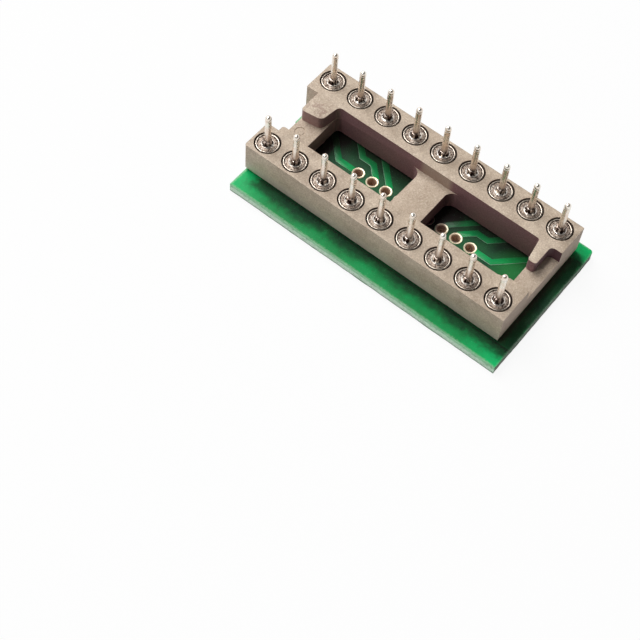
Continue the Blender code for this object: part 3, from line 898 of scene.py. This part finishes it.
def combine(piece, work, operation):
    """Join or cut a piece with the solid in a bmesh."""
    tool = finish_mesh("tool", work, plastic)
    modifier = piece.modifiers.new(operation, "BOOLEAN")
    modifier.operation = operation
    modifier.solver = "EXACT"
    modifier.object = tool
    settle(piece)
    bpy.data.objects.remove(tool)


print("boolean helpers ready")

# %% Bores and mould mark
BORE_SIDES = 40
FLANGE_SINK = 0.05 * MM
FLANGE_HEIGHT = 0.70 * MM
COUNTERBORE = 0.975 * MM
SHANK_BORE = 0.66 * MM
BORE_CHAMFER = 0.035 * MM
SEAT_GAP = 0.01 * MM
CUT_CLEAR = 1.0 * MM
MARK_PLACE = Vector((-10.12, -0.33)) * MM
MARK_RADIUS = 0.42 * MM
MARK_WIDTH = 0.13 * MM
MARK_DEPTH = 0.05 * MM
MARK_SINK = 0.012 * MM
flange_top = header_high.z - FLANGE_SINK


def mark_profile():
    """A stamp for the round mark of the mould in the left bar: a groove round a low disc."""
    groove = bar_top - MARK_DEPTH
    disc = bar_top - MARK_SINK
    inner = MARK_RADIUS - MARK_WIDTH
    return [(0.0, bar_top + MARK_DEPTH), (MARK_RADIUS + MARK_DEPTH, bar_top + MARK_DEPTH),
            (MARK_RADIUS, groove), (inner, groove), (inner - MARK_DEPTH / 2, disc), (0.0, disc)]


def bore_profile():
    """A cutter for one stepped bore, longer than the header at both ends."""
    seat = flange_top - FLANGE_HEIGHT - SEAT_GAP
    above = header_high.z + CUT_CLEAR
    below = header_low.z - CUT_CLEAR
    return [(0.0, above), (COUNTERBORE + BORE_CHAMFER + CUT_CLEAR, above),
            (COUNTERBORE, header_high.z - BORE_CHAMFER), (COUNTERBORE, seat),
            (SHANK_BORE, seat), (SHANK_BORE, below), (0.0, below)]


print("flanges lie at", flange_top / MM, "mm")


# %% Build the header
LEVEL_ANGLE = math.radians(0.5)
CORNER_ANGLE = math.radians(50)
SMOOTH_ANGLE = math.radians(35)


def build_header():
    """Cut the windows, join the rails, break the edges, and cut the bores last."""
    layer = solid_plate(low_layer(), header_low.z, bar_top)
    header = finish_mesh("header_moulding", layer, plastic)
    for outline in window_outlines():
        cutter = solid_plate(outline, header_low.z - CUT_CLEAR, header_high.z)
        combine(header, cutter, "DIFFERENCE")
    overlap = BAR_DROP / 4
    for outline in (back_rail(), front_rail()):
        combine(header, solid_plate(outline, bar_top - overlap, header_high.z), "UNION")
    work = bmesh.new()
    work.from_mesh(header.data)
    bmesh.ops.remove_doubles(work, verts=work.verts, dist=MERGE_DISTANCE)
    bmesh.ops.dissolve_limit(work, angle_limit=LEVEL_ANGLE, verts=work.verts,
                             edges=work.edges)
    work.to_mesh(header.data)
    work.free()
    rounding = header.modifiers.new("rounding", "BEVEL")
    rounding.width = EDGE_ROUNDING
    rounding.segments = 3
    rounding.limit_method = "ANGLE"
    rounding.angle_limit = CORNER_ANGLE
    settle(header)
    for number in PIN_NUMBERS:
        combine(header, spun(bore_profile(), pin_places[number], BORE_SIDES), "DIFFERENCE")
    combine(header, spun(mark_profile(), MARK_PLACE, BORE_SIDES), "DIFFERENCE")
    header.data.materials.clear()
    header.data.materials.append(plastic)
    header.data.shade_smooth()
    header.data.set_sharp_from_angle(angle=SMOOTH_ANGLE)
    return header


header = place_piece(build_header(), "header_plastic", "header_body")
print("header:", len(header.data.polygons), "faces")

# %% [markdown]
# ## The board
#
# The board is a plate of laminate with a coat of solder mask on each face. It was snapped
# and filed from a panel, so its edge wanders a little. The outline is divided finely and
# each point is pushed inwards by a smooth noise, never outwards, so the board keeps its size.
# Its left end alone starts a hair further out than the solid's, still within the whole box.

# %% Sizes of the board and its copper
BOARD_CORNER_RADIUS = 0.30 * MM
NOTCH_RADIUS = 1.30 * MM
NOTCH_OUTSET = 0.12 * MM
EDGE_WANDER = 0.05 * MM
EDGE_STEP = 0.25 * MM
WAVE_SCALE = 0.7
CHIP_SCALE = 3.1
MASK_FRAY = 1.3
NOTCH_STEPS = 40
LEFT_OVERHANG = 0.07 * MM
MASK = 0.02 * MM
BORE_MARGIN = 0.05 * MM
RING_MARGIN = 0.02 * MM
VIA_BORE = 0.31 * MM
VIA_RING = 0.49 * MM
RING_BAND = 0.12 * MM
RING_SLOPE = 0.10 * MM
LAND_PITCH = 1.27 * MM
VIA_ROW = 0.635 * MM
LAND_REACH = 5.80 * MM
LAND_LENGTH = 3.95 * MM
LAND_WIDTH = 0.79 * MM
LAND_TAPER = 0.45 * MM
NECK_WIDTH = 0.54 * MM
LAND_SHIFT_X = 0.41 * MM
LAND_SHIFT_Y = -0.485 * MM

MIDDLE_COLUMN = 4

land_centre = flat(grid_centre) + Vector((LAND_SHIFT_X, LAND_SHIFT_Y))


def row_and_column(number):
    """The back row is 1 and holds leads 1 to 9. The front row is -1 and runs back to 18."""
    if number <= PINS_PER_ROW:
        return 1, number - 1
    return -1, LAST_PIN - number


def via_place(number):
    """Centre of the plated hole of a lead."""
    side, column = row_and_column(number)
    return land_centre + Vector(((column - MIDDLE_COLUMN) * LAND_PITCH, side * VIA_ROW))


print("land pattern centred at", land_centre)


# %% Build the laminate and its two coats of mask
def divided(outline, step):
    """The same closed outline with extra points along its long runs."""
    points = []
    for first, second in zip(outline, outline[1:] + outline[:1]):
        count = max(1, round((second - first).length / step))
        for index in range(count):
            points.append(first.lerp(second, index / count))
    return points


def board_outline():
    """A rectangle with one rounded corner and a round notch in its left end."""
    left = board_low.x - LEFT_OVERHANG
    notch = Vector((board_low.x - NOTCH_OUTSET, land_centre.y))
    opening = math.acos((left - notch.x) / NOTCH_RADIUS)
    outline = rounded_outline([
        (left, board_low.y, 0),
        (board_high.x, board_low.y, 0),
        (board_high.x, board_high.y, BOARD_CORNER_RADIUS),
        (left, board_high.y, 0),
    ])
    return outline + arc(notch, NOTCH_RADIUS, opening, -opening, NOTCH_STEPS)


def noise_at(point, scale, seed):
    return noise.noise(Vector((point.x / MM * scale, point.y / MM * scale, seed)))


def wandering(outline, depth, seed):
    """Push each point towards the middle of the board by a smooth noise."""
    middle = Vector(((board_low.x + board_high.x) / 2, (board_low.y + board_high.y) / 2))
    moved = []
    for point in outline:
        wave = noise_at(point, WAVE_SCALE, seed)
        fine = noise_at(point, CHIP_SCALE, seed + 5.0)
        push = depth * min(1.0, max(0.0, 0.45 + 0.6 * wave + 0.35 * fine))
        inwards = (middle - point).normalized()
        moved.append(point + inwards * push)
    return moved


def build_board():
    outline = divided(board_outline(), EDGE_STEP)
    bores = [circle(via_place(number), VIA_BORE + BORE_MARGIN) for number in PIN_NUMBERS]
    rings = [circle(via_place(number), VIA_RING + RING_MARGIN) for number in PIN_NUMBERS]
    edge = wandering(outline, EDGE_WANDER, 1.0)
    core = finish_mesh("laminate_core", pierced_plate(edge, bores, board_low.z, board_high.z),
                       laminate)
    pieces = [place_piece(core, "board_laminate", "board")]
    for name, low, high, seed in (
            ("mask_header_face", board_high.z, board_high.z + MASK, 2.0),
            ("mask_land_face", board_low.z - MASK, board_low.z, 3.0)):
        coat = pierced_plate(wandering(outline, EDGE_WANDER * MASK_FRAY, seed), rings, low, high)
        pieces.append(place_piece(finish_mesh(name, coat, mask), "board_laminate"))
    return pieces


board_pieces = build_board()
print("board pieces:", [piece.name for piece in board_pieces])

# %% [markdown]
# ## The copper
#
# Each lead has one run of copper. A land below takes the chip's leg, a plated hole brings it
# through the board, and a trace on the header face leads to the pin's pad. The bare metal
# shows at the lands and the rings. The traces and the necks of the lands lie under mask, so
# they are strips with rounded shoulders in the lighter green.

# %% Routes of the traces
TRACE_WIDTH = 0.50 * MM
TRACE_LEAD = 1.85 * MM
TRACE_EXIT = 0.45 * MM
TRACE_JOG = 1.00 * MM
TRACE_JOG_RISE = 0.90 * MM
PIN_PAD = 0.75 * MM
TRACE_SHOULDER = 0.045 * MM
SHORTEST_RUN = 0.01 * MM


def trace_path(number):
    """From the plated hole to the pin's pad, with slanted runs at 45 degrees."""
    start = via_place(number)
    target = flat(pin_places[number])
    side, column = row_and_column(number)
    across = abs(target.x - start.x)
    up = abs(target.y - start.y)
    outwards = math.copysign(1.0, target.x - start.x)
    from_end = MIDDLE_COLUMN - abs(column - MIDDLE_COLUMN)
    straight = (0.0, TRACE_EXIT, TRACE_EXIT, up - across, up - across)[from_end]
    level = (TRACE_LEAD, TRACE_JOG, 0.0, 0.0, 0.0)[from_end]
    level = max(level, across - (up - straight))
    slant = across - level
    first = min(TRACE_JOG_RISE * from_end, slant) if level > SHORTEST_RUN else 0.0
    path = [start]
    for along, rise in ((0.0, straight), (first, first), (level, 0.0),
                        (slant - first, slant - first), (0.0, up - straight - slant)):
        if along > SHORTEST_RUN or rise > SHORTEST_RUN:
            path.append(path[-1] + Vector((outwards * along, side * rise)))
    return path


def ribbon(path, widths):
    """The outline of a strip along a path, mitred at its bends and square at its ends."""
    left = []
    right = []
    for index, point in enumerate(path):
        before = (point - path[index - 1]) if index else (path[1] - point)
        after = (path[index + 1] - point) if index < len(path) - 1 else before
        before = before.normalized()
        after = after.normalized()
        normal = (before + after).normalized()
        normal = Vector((-normal.y, normal.x))
        reach = widths[index] / 2 / normal.dot(Vector((-after.y, after.x)))
        left.append(point + normal * reach)
        right.append(point - normal * reach)
    return right + left[::-1]


print("trace 4 runs through", len(trace_path(4)), "points")


# %% Build the covered traces and necks
NECK_LEVEL = 0.008 * MM
NECK_SHOULDER = 0.012 * MM
NECK_OVERLAP = 0.02 * MM
RING_SHARE = 0.9


def strip(work, path, width, bottom, top, rounding):
    """Add a strip with rounded shoulders on the side away from the board."""
    piece = solid_plate(ribbon(path, [width] * len(path)), bottom, top)
    round_rims(piece, top, rounding, 3)
    merge(work, piece)


def shortened(path, start_gap, end_gap):
    """A path that begins and ends a little way in from its first and last point."""
    first = path[0] + (path[1] - path[0]).normalized() * start_gap
    last = path[-1] + (path[-2] - path[-1]).normalized() * end_gap
    return [first] + path[1:-1] + [last]


def land_stops(number):
    """Points of a land: the hole, the end of the neck, the full width, the round end."""
    start = via_place(number)
    side = row_and_column(number)[0]
    reach = LAND_REACH - VIA_ROW
    stops = (reach - LAND_LENGTH, reach - LAND_LENGTH + LAND_TAPER, reach - LAND_WIDTH / 2)
    return [start] + [start + Vector((0.0, side * stop)) for stop in stops]


def build_covered_copper():
    traces = bmesh.new()
    necks = bmesh.new()
    for number in PIN_NUMBERS:
        path = shortened(trace_path(number), VIA_RING * RING_SHARE, PIN_PAD * RING_SHARE)
        strip(traces, path, TRACE_WIDTH, board_high.z, copper_high.z, TRACE_SHOULDER)
        neck = shortened(land_stops(number)[:2], VIA_RING * RING_SHARE, -NECK_OVERLAP)
        strip(necks, neck, NECK_WIDTH, board_low.z, NECK_LEVEL, NECK_SHOULDER)
    made = []
    for name, work in (("mask_over_traces", traces), ("mask_over_necks", necks)):
        made.append(place_piece(finish_mesh(name, work, mask_on_copper), "board_laminate"))
    return made


covered = build_covered_copper()
print("covered copper:", [piece.name for piece in covered])

# %% [markdown]
# ## The pin numbers
#
# Beside the land pattern the board carries plain pin numbers, etched in copper and covered
# with mask like the necks. Each figure is a few strokes. A stroke is a path of points with
# a width, so the strip helper makes it too.

# %% Build the pin numbers on the land face
FIGURE_STROKE = 0.23 * MM
FIGURE_STEP = 1.60 * MM
FIGURE_ROWS = (("1", -6.1, -5.1), ("18", -6.1, 3.5), ("9", 7.8, -5.2), ("10", 7.8, 3.5))
NEARLY_ROUND = 2 * math.pi - 0.14


def figure_strokes(figure):
    """The strokes of a figure, in millimetres, from its foot at the origin."""
    if figure == "1":
        return [[Vector((-0.28, 1.26)), Vector((0.0, 1.64)), Vector((0.0, 0.0))]]
    if figure == "8":
        return [arc(Vector((0.0, 1.33)), 0.32, 0.0, NEARLY_ROUND, 24),
                arc(Vector((0.0, 0.40)), 0.36, 0.0, NEARLY_ROUND, 24)]
    if figure == "9":
        bowl = arc(Vector((0.0, 1.22)), 0.42, 0.0, NEARLY_ROUND - 0.9, 22)
        return [[Vector((0.0, 0.0)), Vector((0.32, 0.52))] + bowl]
    oval = arc(Vector((0.0, 1.26)), 0.40, 0.0, math.pi, 14)
    oval += arc(Vector((0.0, 0.38)), 0.40, math.pi, 2 * math.pi, 14)
    return [oval + [Vector((0.40, 1.20))]]


def build_numbers():
    work = bmesh.new()
    for figures, foot, across in FIGURE_ROWS:
        for index, figure in enumerate(figures):
            origin = land_centre + Vector((foot, -across)) * MM
            origin.y -= index * FIGURE_STEP
            for stroke in figure_strokes(figure):
                path = [origin + Vector((-point.y, -point.x)) * MM for point in stroke]
                strip(work, path, FIGURE_STROKE, board_low.z, NECK_LEVEL, NECK_SHOULDER)
    return place_piece(finish_mesh("pin_numbers", work, mask_on_copper), "board_laminate")


numbers = build_numbers()
print("pin numbers:", len(numbers.data.polygons), "faces")


# %% Build the bare metal of each lead
RING_LIP = 0.02 * MM
BARREL_WALL = 0.04 * MM
RING_SIDES = 36
LAND_ROUNDING = 0.025 * MM


def ring_profile():
    """Half section of a plated hole: on each face a band that slopes into the barrel."""
    band = VIA_RING - RING_BAND
    wall = VIA_BORE + BARREL_WALL
    lip = RING_LIP
    top = copper_high.z
    return [
        (VIA_BORE, RING_SLOPE), (band, lip * 0.5), (band + lip, 0.0),
        (VIA_RING - lip, 0.0), (VIA_RING, lip),
        (VIA_RING, board_low.z), (wall, board_low.z),
        (wall, board_high.z), (VIA_RING, board_high.z),
        (VIA_RING, top - lip), (VIA_RING - lip, top), (band + lip, top),
        (band, top - lip * 0.5), (VIA_BORE, top - RING_SLOPE),
    ]


def land_outline(number):
    """A land: a tapered strip whose far end is closed by half a circle."""
    stops = land_stops(number)[1:]
    edge = ribbon(stops, [NECK_WIDTH, LAND_WIDTH, LAND_WIDTH])
    start = 0.0 if row_and_column(number)[0] > 0 else math.pi
    cap = arc(stops[-1], LAND_WIDTH / 2, start, start + math.pi, 14)
    return edge[:len(stops) - 1] + cap + edge[len(stops) + 1:]


def build_lead(number):
    work = spun(ring_profile(), via_place(number), RING_SIDES, closed=True)
    land = solid_plate(land_outline(number), board_low.z, 0.0)
    round_rims(land, 0.0, LAND_ROUNDING)
    merge(work, land)
    pad = circle(flat(pin_places[number]), PIN_PAD)
    merge(work, pierced_plate(pad, [], board_high.z, copper_high.z))
    piece = finish_mesh(f"plated_lead_{number:02d}", work, land_metal)
    return place_piece(piece, "tinned_copper", f"conductor_{number:02d}")


leads = [build_lead(number) for number in PIN_NUMBERS]
print("plated leads:", len(leads))

# %% [markdown]
# ## The turned pins
#
# Each pin is cut on a lathe from brass rod and plated. From the bottom it has a tail, a
# shank in the moulding, a flange in the counterbore, a collar, and a slim plug with a
# rounded tip. The flange's face keeps the rings that the tool left, so they are modelled as
# shallow waves in the profile, and the profile is spun.

# %% Build the pins
PIN_SIDES = 40
PIN_SMOOTH = 32.0
TAIL = 0.38 * MM
SHANK = 0.65 * MM
FLANGE = 0.89 * MM
COLLAR = 0.335 * MM
COLLAR_HEIGHT = 0.32 * MM
PLUG = 0.235 * MM
SHOULDER = 0.35 * MM
CONE = 0.08 * MM
CONE_FOOT = 0.47 * MM
FACE_RISE = 0.012 * MM
LATHE_RINGS = 3
RING_DEPTH = 0.0015 * MM
BEAD = FLANGE - BEAD_INSIDE * MM
BEAD_HEIGHT = 0.030 * MM
FACE_DROP = 0.02 * MM
GROOVE = 0.035 * MM
GROOVE_DEPTH = 0.045 * MM
FOOT_GAP = 0.04 * MM
TIP_NECK = 0.03 * MM


def flange_face():
    """The flange's upper face: a bead, a groove, rings left by the lathe, and a low cone."""
    low = flange_top - FACE_DROP
    points = []
    for step in range(9):
        angle = math.pi * step / 8
        points.append((FLANGE - BEAD / 2 + BEAD / 2 * math.cos(angle),
                       low + (BEAD_HEIGHT + FACE_DROP) * math.sin(angle)))
    floor_radius = FLANGE - BEAD - GROOVE
    points.append((FLANGE - BEAD - GROOVE / 2, flange_top - GROOVE_DEPTH))
    steps = LATHE_RINGS * 8
    for step in range(steps + 1):
        share = step / steps
        radius = floor_radius + (CONE_FOOT - floor_radius) * share
        wave = -math.cos(share * LATHE_RINGS * 2 * math.pi) * RING_DEPTH
        points.append((radius, low + FACE_RISE * share + wave))
    points.append((COLLAR + 0.03 * MM, low + CONE))
    return points


def pin_profile():
    """Half section of a pin, from the foot of its tail up to its tip."""
    seat = flange_top - FLANGE_HEIGHT
    foot = copper_high.z + FOOT_GAP
    collar_top = flange_top + CONE + COLLAR_HEIGHT
    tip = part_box("pin_01")[1].z
    profile = [(0.0, foot), (TAIL, foot), (TAIL, header_low.z), (SHANK, header_low.z),
               (SHANK, seat), (FLANGE, seat)]
    profile += flange_face()
    profile += [
        (COLLAR - 0.01 * MM, header_high.z - 0.03 * MM),
        (COLLAR, header_high.z),
        (COLLAR, collar_top - 0.08 * MM),
        (COLLAR - 0.03 * MM, collar_top - 0.02 * MM),
        (COLLAR - 0.07 * MM, collar_top),
        (PLUG + 0.02 * MM, collar_top + SHOULDER * 0.8),
        (PLUG, collar_top + SHOULDER),
        (PLUG, tip - PLUG * 1.6),
        (PLUG - TIP_NECK, tip - PLUG * 1.45),
        (PLUG - TIP_NECK, tip - PLUG * 1.25),
        (PLUG, tip - PLUG * 1.05),
    ]
    for step in range(7):
        angle = math.pi / 2 * step / 7
        profile.append((PLUG * math.cos(angle), tip - PLUG + PLUG * math.sin(angle)))
    profile.append((0.0, tip))
    return profile


def build_pin(number):
    work = spun(pin_profile(), pin_places[number], PIN_SIDES)
    piece = finish_mesh(f"turned_pin_{number:02d}", work, pin_metal, PIN_SMOOTH)
    return place_piece(piece, "plated_pin", f"pin_{number:02d}")


pins = [build_pin(number) for number in PIN_NUMBERS]
print("pins:", len(pins), "with", len(pins[0].data.polygons), "faces each")

# %% [markdown]
# ## The solder joints
#
# A joint is a film under the pin's tail and a hollow fillet round it. Only its edge shows,
# in the gap between the header and the board. It is spun like the pin, and then pushed in
# and out a little by a noise, because no two joints are alike.

# %% Build the solder joints
JOINT_FOOT = 0.67 * MM
JOINT_COLLAR = 0.05 * MM
JOINT_FILM = 0.03 * MM
JOINT_GAP = 0.02 * MM
JOINT_SIDES = 28
TAIL_GAP = 0.01 * MM
SWELL = 0.05


def joint_profile():
    """Half section of a joint: a film, and a hollow fillet up the tail."""
    bottom = copper_high.z
    film = bottom + JOINT_FILM
    top = header_low.z - JOINT_GAP
    tail = TAIL + TAIL_GAP
    profile = [(0.0, bottom), (JOINT_FOOT, bottom)]
    for step in range(9):
        angle = math.pi / 2 * step / 8
        radius = JOINT_FOOT - (JOINT_FOOT - tail - JOINT_COLLAR) * math.sin(angle)
        profile.append((radius, film + (top - film) * (1 - math.cos(angle))))
    return profile + [(tail, top), (tail, film), (0.0, film)]


def build_joint(number):
    centre = pin_places[number]
    work = spun(joint_profile(), centre, JOINT_SIDES)
    for vert in work.verts:
        out = flat(vert.co) - flat(centre)
        if out.length > TAIL + 2 * TAIL_GAP:
            swell = noise.noise(vert.co / MM * 1.7 + Vector((number, 0.0, 0.0)))
            vert.co += Vector((out.x, out.y, 0.0)) * (SWELL * swell)
    piece = finish_mesh(f"solder_fillet_{number:02d}", work, solder)
    return place_piece(piece, "solder", f"solder_joint_{number:02d}")


joints = [build_joint(number) for number in PIN_NUMBERS]
print("solder joints:", len(joints))

# %% [markdown]
# ## Floor, light and background
#
# The adapter lies on a white table. A large lamp on the left gives the soft shadows in the
# windows, and a small one at the front left gives the pins their highlights. The floor is
# pale and keeps a trace of the shadow. Seen by the camera it is mostly plain white, and so
# is the room near the horizon, where the metal mirrors it.

# %% Floor and lights
FLOOR_SIZE = 2.0
FLOOR_WHITE = 0.82
FLOOR_GLOW = 0.92
ROOM_DIM = 0.12
LAMP_DISTANCE = 0.6


def seen_or_mirrored(wire):
    """Two wires: 1 for a ray from the camera, and 1 for a mirrored ray."""
    return (wire.node("ShaderNodeLightPath", output=0),
            wire.node("ShaderNodeLightPath", output=3))


def make_floor():
    """A white table that hardly shades, except right under the board."""
    material, wire = new_material("white_table")
    feed_shader(material, {"Base Color": grey(FLOOR_WHITE), "Roughness": 0.9})
    nodes = wire.tree.nodes
    plain = Wire(wire.tree, nodes["Principled BSDF"].outputs[0])
    glow = wire.node("ShaderNodeEmission", inputs={"Color": grey(1.0), "Strength": 1.0})
    across, along, height = parts(millimetres(wire))
    beside = between(outside_of(across, along, *board_plan), -0.2, 0.0)
    share = larger(*seen_or_mirrored(wire)) * beside * FLOOR_GLOW
    surface = wire.node("ShaderNodeMixShader", inputs={0: share, 1: plain, 2: glow})
    wire.feed(nodes["Material Output"].inputs["Surface"], surface)
    work = bmesh.new()
    bmesh.ops.create_grid(work, x_segments=1, y_segments=1, size=FLOOR_SIZE / 2)
    finish_mesh("floor", work, material)


def make_area(name, azimuth, elevation, distance, size, power):
    """A square lamp that faces the object."""
    away = direction(azimuth, elevation)
    data = bpy.data.lights.new(name, "AREA")
    data.size = size
    data.energy = power
    lamp = bpy.data.objects.new(name, data)
    lamp.matrix_world = (Matrix.Translation(away * distance)
                         @ away.to_track_quat("Z", "Y").to_matrix().to_4x4())
    bpy.context.scene.collection.objects.link(lamp)


def make_world():
    """A room that is white to the camera, white near the horizon to the metal, else dim."""
    world = bpy.data.worlds.new("studio")
    world.use_nodes = True
    back = world.node_tree.nodes["Background"]
    wire = Wire(world.node_tree)
    seen, mirrored = seen_or_mirrored(wire)
    height = parts(wire.node("ShaderNodeTexCoord"))[2]
    near_horizon = between(height, 0.60, 0.30)
    strength = larger(seen, mirrored * near_horizon) * (1.0 - ROOM_DIM) + ROOM_DIM
    wire.feed(back.inputs["Strength"], strength)
    back.inputs["Color"].default_value = grey(1.0)
    bpy.context.scene.world = world


make_floor()
make_world()
make_area("key", 258.0, 54.0, LAMP_DISTANCE, 0.42, 3.95)
make_area("small_lamp", 330.0, 60.0, LAMP_DISTANCE, 0.07, 0.60)
print("stage ready")

# %% [markdown]
# ## Finish
#
# The picture uses the plain Standard view, so a colour looks as it is written.

# %% Finish
bpy.context.scene.view_settings.view_transform = "Standard"
